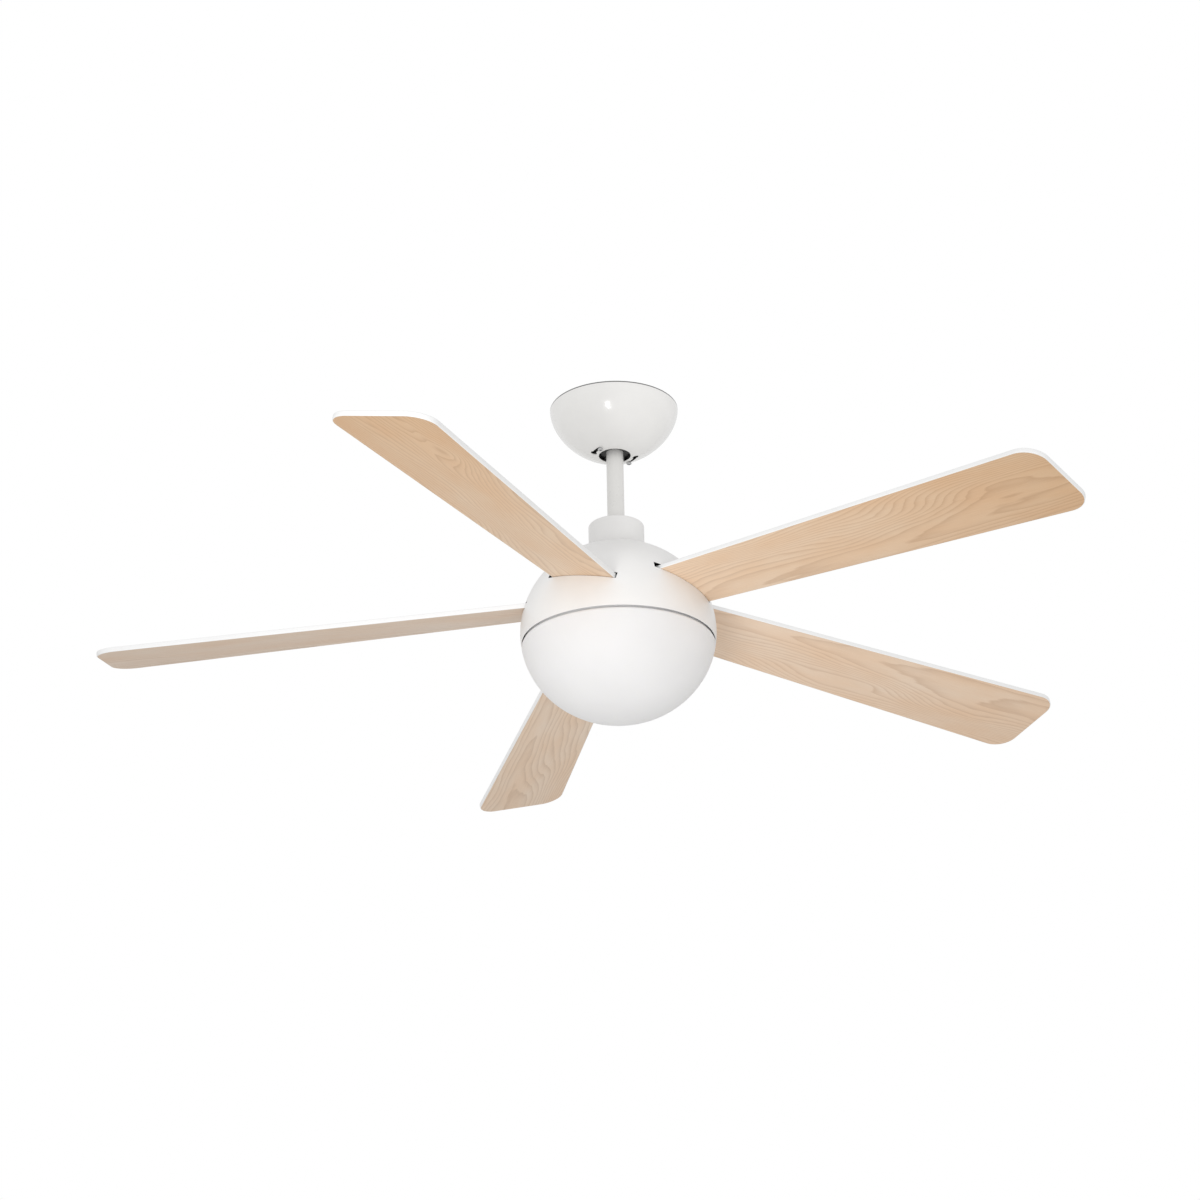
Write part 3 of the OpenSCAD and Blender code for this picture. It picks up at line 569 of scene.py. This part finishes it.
def turned_steel(name, dark, light, roughness, feed):
    """Lathe-turned steel: fine rings round the axis, spaced by the tool's feed."""
    material, shader = new_finish(name, metallic=1.0)
    shade = mottle(material, 12 * mm, detail=4.0)
    coloured(material, shader, shade, dark, light)
    rings = mottle(material, feed, drawn=(60, 60, 1), detail=2.0)
    roughened(material, shader, rings, roughness)
    relief(material, shader, rings, 0.01 * mm)
    return material


shaft_steel = turned_steel(
    "turned_shaft", (0.42, 0.42, 0.43), (0.56, 0.56, 0.57), (0.24, 0.42), 0.3 * mm
)
zinc = plated_steel("zinc_plate", (0.50, 0.51, 0.52), (0.66, 0.66, 0.65), 2.6 * mm, (0.28, 0.46))
dress(shaft_steel, "motor_shaft")
dress(zinc, "shaft_nuts")
dress(black_cast, "shaft_clip")


# ---- Bearings ----
# Two deep-groove ball bearings of ground and polished steel between the shaft and the rotor.
# The inner rings stand still on the shaft, and the outer rings and balls go round with the rotor.
ground_steel = turned_steel(
    "ground_bearing_steel", (0.66, 0.66, 0.68), (0.76, 0.76, 0.78), (0.10, 0.18), 0.12 * mm
)
polished_ball = bright_steel("polished_ball_steel", (0.72, 0.72, 0.74), (0.80, 0.80, 0.82), (0.05, 0.09))
dress(ground_steel, "upper_bearing_inner", "lower_bearing_inner")
dress(ground_steel, "upper_bearing_outer", "lower_bearing_outer")
dress(polished_ball, "upper_bearing_balls", "lower_bearing_balls")


# ---- Stator ----
# The core is a stack of 0.5 mm electrical steel sheets with twelve teeth, pressed on the shaft.
# Each tooth carries a coil of enamelled copper wire, wound round it by machine.
sheet_thickness = 0.5 * mm
wire_thickness = 0.9 * mm
band_scale = 0.32


def layered(material, thickness):
    """Lines round the piece, one for each layer of thickness stacked along Z. A wave texture at
    band_scale has about one band in each unit of its pattern."""
    lines = on_piece(material, thickness)
    return add_node(
        material, "ShaderNodeTexWave",
        {"Vector": lines, "Scale": band_scale, "Distortion": 0.4, "Detail": 1.0},
        bands_direction="Z",
    ).outputs["Fac"]


stacked_steel, stack_shader = new_finish("stacked_electrical_steel", metallic=0.9)
sheets = layered(stacked_steel, sheet_thickness)
stack_mix = two_shades(stacked_steel, sheets, (0.07, 0.075, 0.085), (0.20, 0.205, 0.22))
wire(stacked_steel, stack_mix, stack_shader, "Base Color")
stack_haze = mottle(stacked_steel, 4 * mm)
roughened(stacked_steel, stack_shader, stack_haze, (0.35, 0.55))
relief(stacked_steel, stack_shader, sheets, 0.05 * mm)
dress(stacked_steel, "stator_core")

copper, copper_shader = new_finish("enamelled_copper", metallic=0.9)
copper_shader.inputs["Coat Weight"].default_value = 0.5
copper_shader.inputs["Coat Roughness"].default_value = 0.12
strands = add_node(
    copper, "ShaderNodeTexWave",
    {"Vector": on_piece(copper, wire_thickness), "Scale": band_scale, "Distortion": 1.2, "Detail": 2.0},
    wave_type="RINGS", rings_direction="Z",
).outputs["Fac"]
copper_mix = two_shades(copper, strands, (0.28, 0.10, 0.035), (0.78, 0.36, 0.16))
wire(copper, copper_mix, copper_shader, "Base Color")
roughened(copper, copper_shader, mottle(copper, 1.2 * mm), (0.22, 0.38))
relief(copper, copper_shader, strands, 0.25 * mm)
dress(copper, "stator_windings")


# ---- Rotor ----
# Cup and lid are die cast in aluminium and left as cast; five screws close them round the stator.
# Fourteen ferrite magnets are glued round the inside of the cup.
cast_aluminium = cast_metal(
    "die_cast_aluminium", (0.46, 0.46, 0.47), (0.62, 0.62, 0.62), 1.0, (0.32, 0.5), 0.9 * mm, 0.03 * mm
)
ferrite = cast_metal(
    "ferrite_magnet", (0.018, 0.018, 0.020), (0.040, 0.040, 0.043), 0.2, (0.5, 0.72), 0.6 * mm, 0.03 * mm
)
dress(cast_aluminium, "rotor_cup", "rotor_lid")
dress(ferrite, "magnets")
dress(screw_steel, "rotor_screws")


# ---- Ball housing ----
# The upper half of the ball is drawn from 1.5 mm steel, satin white outside; its near-black primer inside is
# painted shade.
# Five slots let the blades in, and a neck at the top is screwed to the rotor, so it goes round.
body_radius = 123.5 * mm
body_rise = 117.75 * mm
body_fall = 115.3 * mm
body_middle = -315.5 * mm
seam = -329.4 * mm
housing_wall = 1.5 * mm
neck_radius = 32.0 * mm
neck_foot = -218.0 * mm
neck_flange = 22.0 * mm
neck_flange_thick = 2.0 * mm
paint_wrap = 30.0 * mm
housing_screw_pitch = 26.5 * mm
housing_screw_hole = 2.05 * mm
housing_screw_count = 3
blade_count = 5
first_blade = math.radians(-41)
blade_meeting = -275.5 * mm
blade_droop = math.radians(3.77)
blade_pitch = math.radians(12.55)
blade_thickness = 6.0 * mm
slot_inner = 92.0 * mm
slot_outer = 136.0 * mm
slot_low_edge = -50.5 * mm
slot_high_edge = 46.0 * mm
slot_under = 0.5 * mm
slot_over = 1.5 * mm


def ball_side(radius, height, start, end, steps, up):
    """Part of the ball's outline, its angles in degrees from the middle, above it or below."""
    return [(r, body_middle - up * z) for r, z in bowl(radius, height, 2, start, end, steps)]


def angle_at(radius, across):
    """The angle above the ball's middle where its outline is across from the axis."""
    return math.degrees(math.acos(across / radius))


def blade_place(i):
    """From a blade's own frame, X along it and its underside at z = 0, to the fan's."""
    heading = turned(first_blade + i * 2 * math.pi / blade_count)
    drop = Matrix.Translation((0, 0, blade_meeting))
    return heading @ drop @ Matrix.Rotation(blade_droop, 4, "Y") @ Matrix.Rotation(-blade_pitch, 4, "X")


inner_radius = body_radius - housing_wall
inner_fall = body_fall - housing_wall
seam_outside = math.degrees(math.asin((body_middle - seam) / body_fall))
seam_inside = math.degrees(math.asin((body_middle - seam) / inner_fall))
mouth_inside = angle_at(inner_radius, neck_radius)
housing_outline = (
    ball_side(body_radius, body_rise, angle_at(body_radius, neck_radius), 0, 72, 1)
    + ball_side(body_radius, body_fall, 1, seam_outside, 6, -1)
    + ball_side(inner_radius, inner_fall, seam_inside, 1, 6, -1)
    + ball_side(inner_radius, body_rise - housing_wall, 0, mouth_inside, 72, 1)
)
mouth_height = housing_outline[0][1]
housing_outline += [
    (neck_radius, neck_foot),
    (neck_flange, neck_foot),
    (neck_flange, neck_foot + neck_flange_thick),
    (neck_radius - housing_wall, neck_foot + neck_flange_thick),
    (neck_radius - housing_wall, mouth_height),
]
housing = spun("housing_shell", softened(housing_outline, 0.6 * mm), 288)
for i in range(blade_count):
    slot_tool = block(
        "slot_tool",
        (slot_inner, slot_low_edge, -slot_under),
        (slot_outer, slot_high_edge, blade_thickness + slot_over),
    )
    cut(housing, slot_tool, blade_place(i))
for i in range(housing_screw_count):
    hole = pin("hole_tool", housing_screw_hole, neck_foot - mm, neck_foot + neck_flange_thick + mm)
    hole_turn = turned(i * 2 * math.pi / housing_screw_count)
    cut(housing, hole, hole_turn @ Matrix.Translation((housing_screw_pitch, 0, 0)))
# Painted shade: near-black primer inside, except the 30 mm of white paint just above the seam.
primer_shade_inside(housing, satin_white, body_middle, seam + paint_wrap)
smooth(housing)
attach(housing, "rotor")
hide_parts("housing")
dress(screw_steel, "housing_screws")


# ---- Blade arms ----
# Each arm is a die-cast aluminium bracket, screwed up into the rotor's lid inside the housing.
# Its pad lies on top of the blade's root.
dress(cast_aluminium, "blade_arm_1", "blade_arm_2", "blade_arm_3", "blade_arm_4", "blade_arm_5")
dress(screw_steel, "arm_screws")


# ---- Blades ----
# Each blade is 6 mm board: a maple face below, and white lacquer on its top and round its edges.
# Three screws from below hold it to its arm, and its edges are rounded over before lacquering.
blade_start = 82.0 * mm
blade_end = 1318 * mm / 2 / math.cos(blade_droop)
taper_start = 120.0 * mm
root_width = 89.0 * mm
tip_width = 127.4 * mm
tip_corner = 28.0 * mm
root_corner = 10.0 * mm
edge_round = 1.0 * mm
blade_screw_hole = 2.55 * mm
ring_pitch = 4.8 * mm
ring_rise = 0.03
heart_depth = 26 * mm
ring_drift = 15 * mm
ring_wander = 1.1 * mm
ring_strength = 0.62
blade_screw_places = [(90 * mm, -22 * mm), (90 * mm, 22 * mm), (97 * mm, 0)]
corner_steps = 20
facing_down = -0.999


def half_width(x):
    return (root_width + (tip_width - root_width) * (x - taper_start) / (blade_end - taper_start)) / 2


def blade_outline(inset):
    """The blade's edge, moved in by inset all round."""
    root, tip = half_width(blade_start), half_width(blade_end)
    slope = math.degrees(math.atan((tip - root) / (blade_end - blade_start)))
    tip_y = tip - tip_corner * math.tan(math.radians((90 + slope) / 2))
    root_y = root - root_corner * math.tan(math.radians((90 - slope) / 2))
    root_x, tip_x = blade_start + root_corner, blade_end - tip_corner
    root_r, tip_r = root_corner - inset, tip_corner - inset
    return (
        arc(root_x, -root_y, root_r, 180, 270 - slope, corner_steps)
        + arc(tip_x, -tip_y, tip_r, 270 - slope, 360, corner_steps)
        + arc(tip_x, tip_y, tip_r, 0, 90 + slope, corner_steps)
        + arc(root_x, root_y, root_r, 90 + slope, 180, corner_steps)
    )


def blade_board(name):
    """The board in its own frame: its flat underside first, then its rounded edge, then its top."""
    shape = bmesh.new()
    quarter = [math.radians(90 * i / 5) for i in range(6)]
    levels = [(edge_round * (1 - math.sin(a)), edge_round * (1 - math.cos(a))) for a in quarter]
    levels += [(inset, blade_thickness - z) for inset, z in levels[::-1]]
    rings = [[shape.verts.new((x, y, z)) for x, y in blade_outline(inset)] for inset, z in levels]
    for one, two in zip(rings, rings[1:]):
        for i in range(len(one)):
            j = (i + 1) % len(one)
            shape.faces.new((one[i], one[j], two[j], two[i]))
    shape.faces.new(rings[0])
    shape.faces.new(rings[-1])
    return finished_mesh(name, shape)


def number(material, operation, one, two=0.0):
    return add_node(material, "ShaderNodeMath", {0: one, 1: two}, operation=operation).outputs[0]


def maple(name, place, pith, lean, knots, tone, sheen_grade, seed):
    """A flat-cut maple face: growth rings met at a shallow angle, a few swirls, and fine fibres.
    pith is how far the tree's heart lies to one side, knots are (x, y, length, width, push), and
    sheen_grade is how strongly a painted sheen makes the root paler and the tip deeper in colour."""
    material, shader = new_finish(name)
    world_spot = add_node(material, "ShaderNodeTexCoord").outputs["Object"]
    own = {"Vector": world_spot, "Location": place.to_translation(), "Rotation": place.to_euler()}
    spot = add_node(material, "ShaderNodeMapping", own, vector_type="TEXTURE").outputs["Vector"]
    parts = add_node(material, "ShaderNodeSeparateXYZ", {"Vector": spot})
    x, y = parts.outputs["X"], parts.outputs["Y"]
    drift = mottle(material, 75 * mm, drawn=(4, 1, 1), detail=1.0, start=(seed, 0, 0), place=spot)
    wander = mottle(material, 16 * mm, drawn=(6, 1, 1), detail=2.0, start=(seed, 3, 0), place=spot)
    across = number(material, "SUBTRACT", y, pith)
    across = number(material, "ADD", across, between(material, drift, -ring_drift, ring_drift))
    across = number(material, "ADD", across, number(material, "MULTIPLY", x, lean))
    squared = number(material, "POWER", across, 2.0)
    deep = number(material, "SQRT", number(material, "ADD", squared, heart_depth ** 2))
    ring = number(material, "SUBTRACT", deep, number(material, "MULTIPLY", x, ring_rise))
    ring = number(material, "ADD", ring, between(material, wander, -ring_wander, ring_wander))
    for knot_x, knot_y, length, width, push in knots:
        far_x = number(material, "DIVIDE", number(material, "SUBTRACT", x, knot_x), length)
        far_y = number(material, "DIVIDE", number(material, "SUBTRACT", y, knot_y), width)
        far_x = number(material, "POWER", far_x, 2.0)
        far = number(material, "ADD", far_x, number(material, "POWER", far_y, 2.0))
        swell = number(material, "EXPONENT", number(material, "MULTIPLY", far, -1.0))
        ring = number(material, "ADD", ring, number(material, "MULTIPLY", swell, push))
    saw = number(material, "FRACT", number(material, "DIVIDE", ring, ring_pitch))
    late = number(material, "POWER", saw, 3.0)
    late = number(material, "MULTIPLY", late, between(material, saw, 1.0, 0.0, 0.9, 1.0))
    fibre = mottle(material, 0.6 * mm, drawn=(45, 1, 1), detail=4.0, start=(seed, 0, 0), place=spot)
    patch = mottle(material, 40 * mm, drawn=(3, 1, 1), detail=3.0, start=(seed, 7, 0), place=spot)
    pale = [channel * shade for channel, shade in zip((0.800, 0.615, 0.450), tone)]
    warm = [channel * shade for channel, shade in zip((0.780, 0.545, 0.360), tone)]
    dark = [channel * shade for channel, shade in zip((0.520, 0.335, 0.205), tone)]
    ground = two_shades(material, between(material, patch, 0, 1), pale, warm)
    depth = number(material, "MULTIPLY", late, ring_strength)
    depth = number(material, "ADD", depth, between(material, fibre, -0.05, 0.18))
    lined = add_node(material, "ShaderNodeMix", {0: depth, 6: ground, 7: (*dark, 1)}, data_type="RGBA")
    # Painted sheen: paler and cooler at the root, deeper and warmer towards the tip.
    along = between(material, x, 0.0, sheen_grade, blade_start, blade_end)
    sheen_tint = two_shades(material, along, (1.05, 1.09, 1.15), (0.86, 0.77, 0.65))
    sheen_sockets = {0: 1.0, 6: lined.outputs[2], 7: sheen_tint}
    sheen_tinted = add_node(material, "ShaderNodeMix", sheen_sockets, data_type="RGBA", blend_type="MULTIPLY")
    wire(material, sheen_tinted.outputs[2], shader, "Base Color")
    roughened(material, shader, fibre, (0.42, 0.56))
    relief(material, shader, fibre, 0.012 * mm)
    return material


lacquer = powder_coat(
    "blade_white_lacquer", (0.83, 0.83, 0.83), (0.86, 0.86, 0.86), (0.30, 0.40), 0.006 * mm, 0.0
)[0]
# Each row: pith, lean, knots, tone, how strong the painted sheen along the blade is, and a seed.
blade_looks = [
    (42 * mm, 0.03, [(0.585, -0.02, 0.09, 0.03, -0.010)], (1.0, 1.0, 1.0), 1.0, 1.0),
    (-38 * mm, -0.02, [(0.40, 0.01, 0.07, 0.02, 0.012)], (1.0, 1.01, 1.04), 0.3, 4.7),
    (30 * mm, 0.02, [(0.33, -0.02, 0.06, 0.02, 0.010)], (0.95, 0.98, 1.03), 0.2, 9.1),
    (-45 * mm, 0.01, [(0.52, 0.02, 0.10, 0.02, 0.010)], (0.86, 0.90, 0.97), 0.2, 13.4),
    (50 * mm, -0.05, [(0.55, 0.035, 0.05, 0.018, 0.016)], (0.97, 0.97, 0.96), 1.0, 17.8),
]
for i, (pith, lean, knots, tone, sheen_grade, seed) in enumerate(blade_looks):
    node = f"blade_{i + 1}"
    board = blade_board(f"{node}_board")
    for x, y in blade_screw_places:
        hole = pin("hole_tool", blade_screw_hole, -mm, blade_thickness + mm, 32)
        cut(board, hole, Matrix.Translation((x, y, 0)))
    board.data.materials.clear()
    board.data.materials.append(lacquer)
    board.data.materials.append(maple(f"{node}_maple", blade_place(i), pith, lean, knots, tone, sheen_grade, seed))
    for face in board.data.polygons:
        if face.normal.z < facing_down:
            face.material_index = 1
    smooth(board)
    board.data.transform(blade_place(i))
    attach(board, "rotor")
    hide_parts(node)
dress(screw_steel, "blade_screws")


# ---- Lamp pan ----
# A shallow steel pan, satin white inside to throw the light down, clamped to the foot of the shaft.
# Three slots in its wall take the dome's lugs.
dress(satin_white, "lamp_pan")


# ---- LED driver, board and chips ----
# The driver is a sealed plastic box on top of the pan.
# The board is aluminium with a white solder mask, and each chip is a yellow phosphor square.
solder_mask, mask_shader = new_finish("white_solder_mask")
mask_shader.inputs["Coat Weight"].default_value = 0.3
tracks = add_node(
    solder_mask, "ShaderNodeTexBrick",
    {"Vector": on_piece(solder_mask, 9 * mm), "Scale": 1.0, "Mortar Size": 0.05, "Mortar Smooth": 0.3},
).outputs["Fac"]
mask_mix = two_shades(solder_mask, tracks, (0.80, 0.81, 0.79), (0.70, 0.72, 0.69))
wire(solder_mask, mask_mix, mask_shader, "Base Color")
roughened(solder_mask, mask_shader, mottle(solder_mask, 5 * mm), (0.28, 0.4))
relief(solder_mask, mask_shader, tracks, 0.03 * mm)
phosphor = moulded(
    "led_phosphor", (0.80, 0.62, 0.16), (0.90, 0.74, 0.26), (0.22, 0.34), 0.4 * mm, 0.01 * mm
)
dress(grey_plastic, "led_driver")
dress(solder_mask, "led_board")
dress(phosphor, "led_chips")
dress(screw_steel, "led_board_screws")


# ---- Dome ----
# The lower half of the ball is blown opal glass, 3 mm thick, with a satin outside.
# A rolled shoulder leads in to its neck, where the plated ring with three lugs is glued.
dome_wall = 3.0 * mm
dome_neck_wall = 3.5 * mm
dome_neck_top = -318.0 * mm
dome_shoulder = 4.0 * mm
dome_join = 9.8
dome_lean = math.degrees(math.atan(math.tan(math.radians(dome_join)) * body_radius / body_fall))
join_radius = body_radius * math.cos(math.radians(dome_join))
dome_neck = join_radius - dome_shoulder * math.cos(math.radians(dome_lean))
join_height = body_middle - body_fall * math.sin(math.radians(dome_join))
shoulder_height = join_height + dome_shoulder * math.sin(math.radians(dome_lean))
neck_inside = dome_neck - dome_neck_wall
dome_outline = (
    [(neck_inside, dome_neck_top), (dome_neck, dome_neck_top)]
    + arc(dome_neck, shoulder_height, dome_shoulder, 90, -dome_lean, 18)
    + ball_side(body_radius, body_fall, dome_join + 1, 90, 80, -1)
    + ball_side(body_radius - dome_wall, body_fall - dome_wall, 90, dome_join + 1, 80, -1)
    + arc(dome_neck, shoulder_height, dome_shoulder - dome_wall, -dome_lean, 90, 14)
    + [(neck_inside, shoulder_height + dome_shoulder - dome_wall)]
)
dome = spun("dome_shade", softened(dome_outline, 0.8 * mm, 40), 240)
opal, opal_shader = new_finish("opal_glass")
opal_shader.inputs["Subsurface Weight"].default_value = 0.35
opal_shader.inputs["Subsurface Radius"].default_value = (0.01, 0.01, 0.009)
opal_shader.inputs["Subsurface Scale"].default_value = 0.5
opal_shader.inputs["Coat Weight"].default_value = 0.05
opal_shader.inputs["Coat Roughness"].default_value = 0.4
milk = mottle(opal, 70 * mm, detail=4.0)
coloured(opal, opal_shader, milk, (0.79, 0.782, 0.782), (0.82, 0.812, 0.812))
roughened(opal, opal_shader, mottle(opal, 6 * mm, detail=6.0), (0.56, 0.66))
relief(opal, opal_shader, mottle(opal, 0.4 * mm, detail=4.0), 0.004 * mm)
dome.data.materials.append(opal)
smooth(dome, 40)
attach(dome, "light_cover")
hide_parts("dome")
dress(zinc, "dome_ring")


# ---- Floor, light and camera ----
# The fan hangs from z = 0 over a pale floor in a bright white studio.
# One small softbox gives the canopy its highlight, and a broad one fills from the viewer's side.
floor_height = -5.0
floor_reach = 60.0
shape = bmesh.new()
floor_place = Matrix.Translation((0, 0, floor_height))
bmesh.ops.create_grid(shape, x_segments=8, y_segments=8, size=floor_reach, matrix=floor_place)
floor = finished_mesh("floor", shape)
floor_paint, floor_shader = new_finish("pale_floor")
floor_tone = mottle(floor_paint, 0.4, detail=4.0)
coloured(floor_paint, floor_shader, floor_tone, (0.80, 0.80, 0.79), (0.83, 0.83, 0.82))
roughened(floor_paint, floor_shader, mottle(floor_paint, 0.05), (0.55, 0.7))
floor.data.materials.append(floor_paint)


def area_light(name, place, target, width, height, watts, spread, mirrored):
    lamp = bpy.data.lights.new(name, "AREA")
    lamp.shape = "RECTANGLE"
    lamp.size = width
    lamp.size_y = height
    lamp.energy = watts
    lamp.spread = math.radians(spread)
    holder = bpy.data.objects.new(name, lamp)
    bpy.context.scene.collection.objects.link(holder)
    holder.location = place
    holder.rotation_euler = (Vector(target) - Vector(place)).to_track_quat("-Z", "Y").to_euler()
    holder.visible_glossy = mirrored


area_light("softbox", (-0.70, -1.84, -1.56), (0, 0, -0.05), 0.85, 0.6, 2.2, 60, True)
area_light("broad_fill", (1.1, -3.5, -2.0), (0, 0, -0.3), 3.0, 2.2, 4.3, 60, False)

world = bpy.data.worlds.new("white_studio")
world.use_nodes = True
world.node_tree.nodes.clear()
glow = add_node(world, "ShaderNodeBackground", {"Color": (1.0, 1.0, 1.0, 1), "Strength": 0.84})
backdrop = add_node(world, "ShaderNodeBackground", {"Color": (1.0, 1.0, 1.0, 1), "Strength": 1.0})
seen = add_node(world, "ShaderNodeLightPath").outputs["Is Camera Ray"]
both = add_node(world, "ShaderNodeMixShader", {0: seen, 1: glow.outputs[0], 2: backdrop.outputs[0]})
add_node(world, "ShaderNodeOutputWorld", {"Surface": both.outputs[0]})
bpy.context.scene.world = world
bpy.context.scene.view_settings.view_transform = "Standard"

camera = bpy.data.objects.new("camera", bpy.data.cameras.new("camera"))
bpy.context.scene.collection.objects.link(camera)
camera.data.sensor_width = 36
camera.data.lens = 82.31
camera.data.clip_end = 50
looking_up = math.radians(23.73)
tilt = math.radians(-1.01)
stand = Matrix.Translation((-0.0224, -3.1763, -1.6655))
nod = Matrix.Rotation(math.pi / 2 + looking_up, 4, "X")
camera.matrix_world = stand @ nod @ Matrix.Rotation(tilt, 4, "Z")
bpy.context.scene.camera = camera
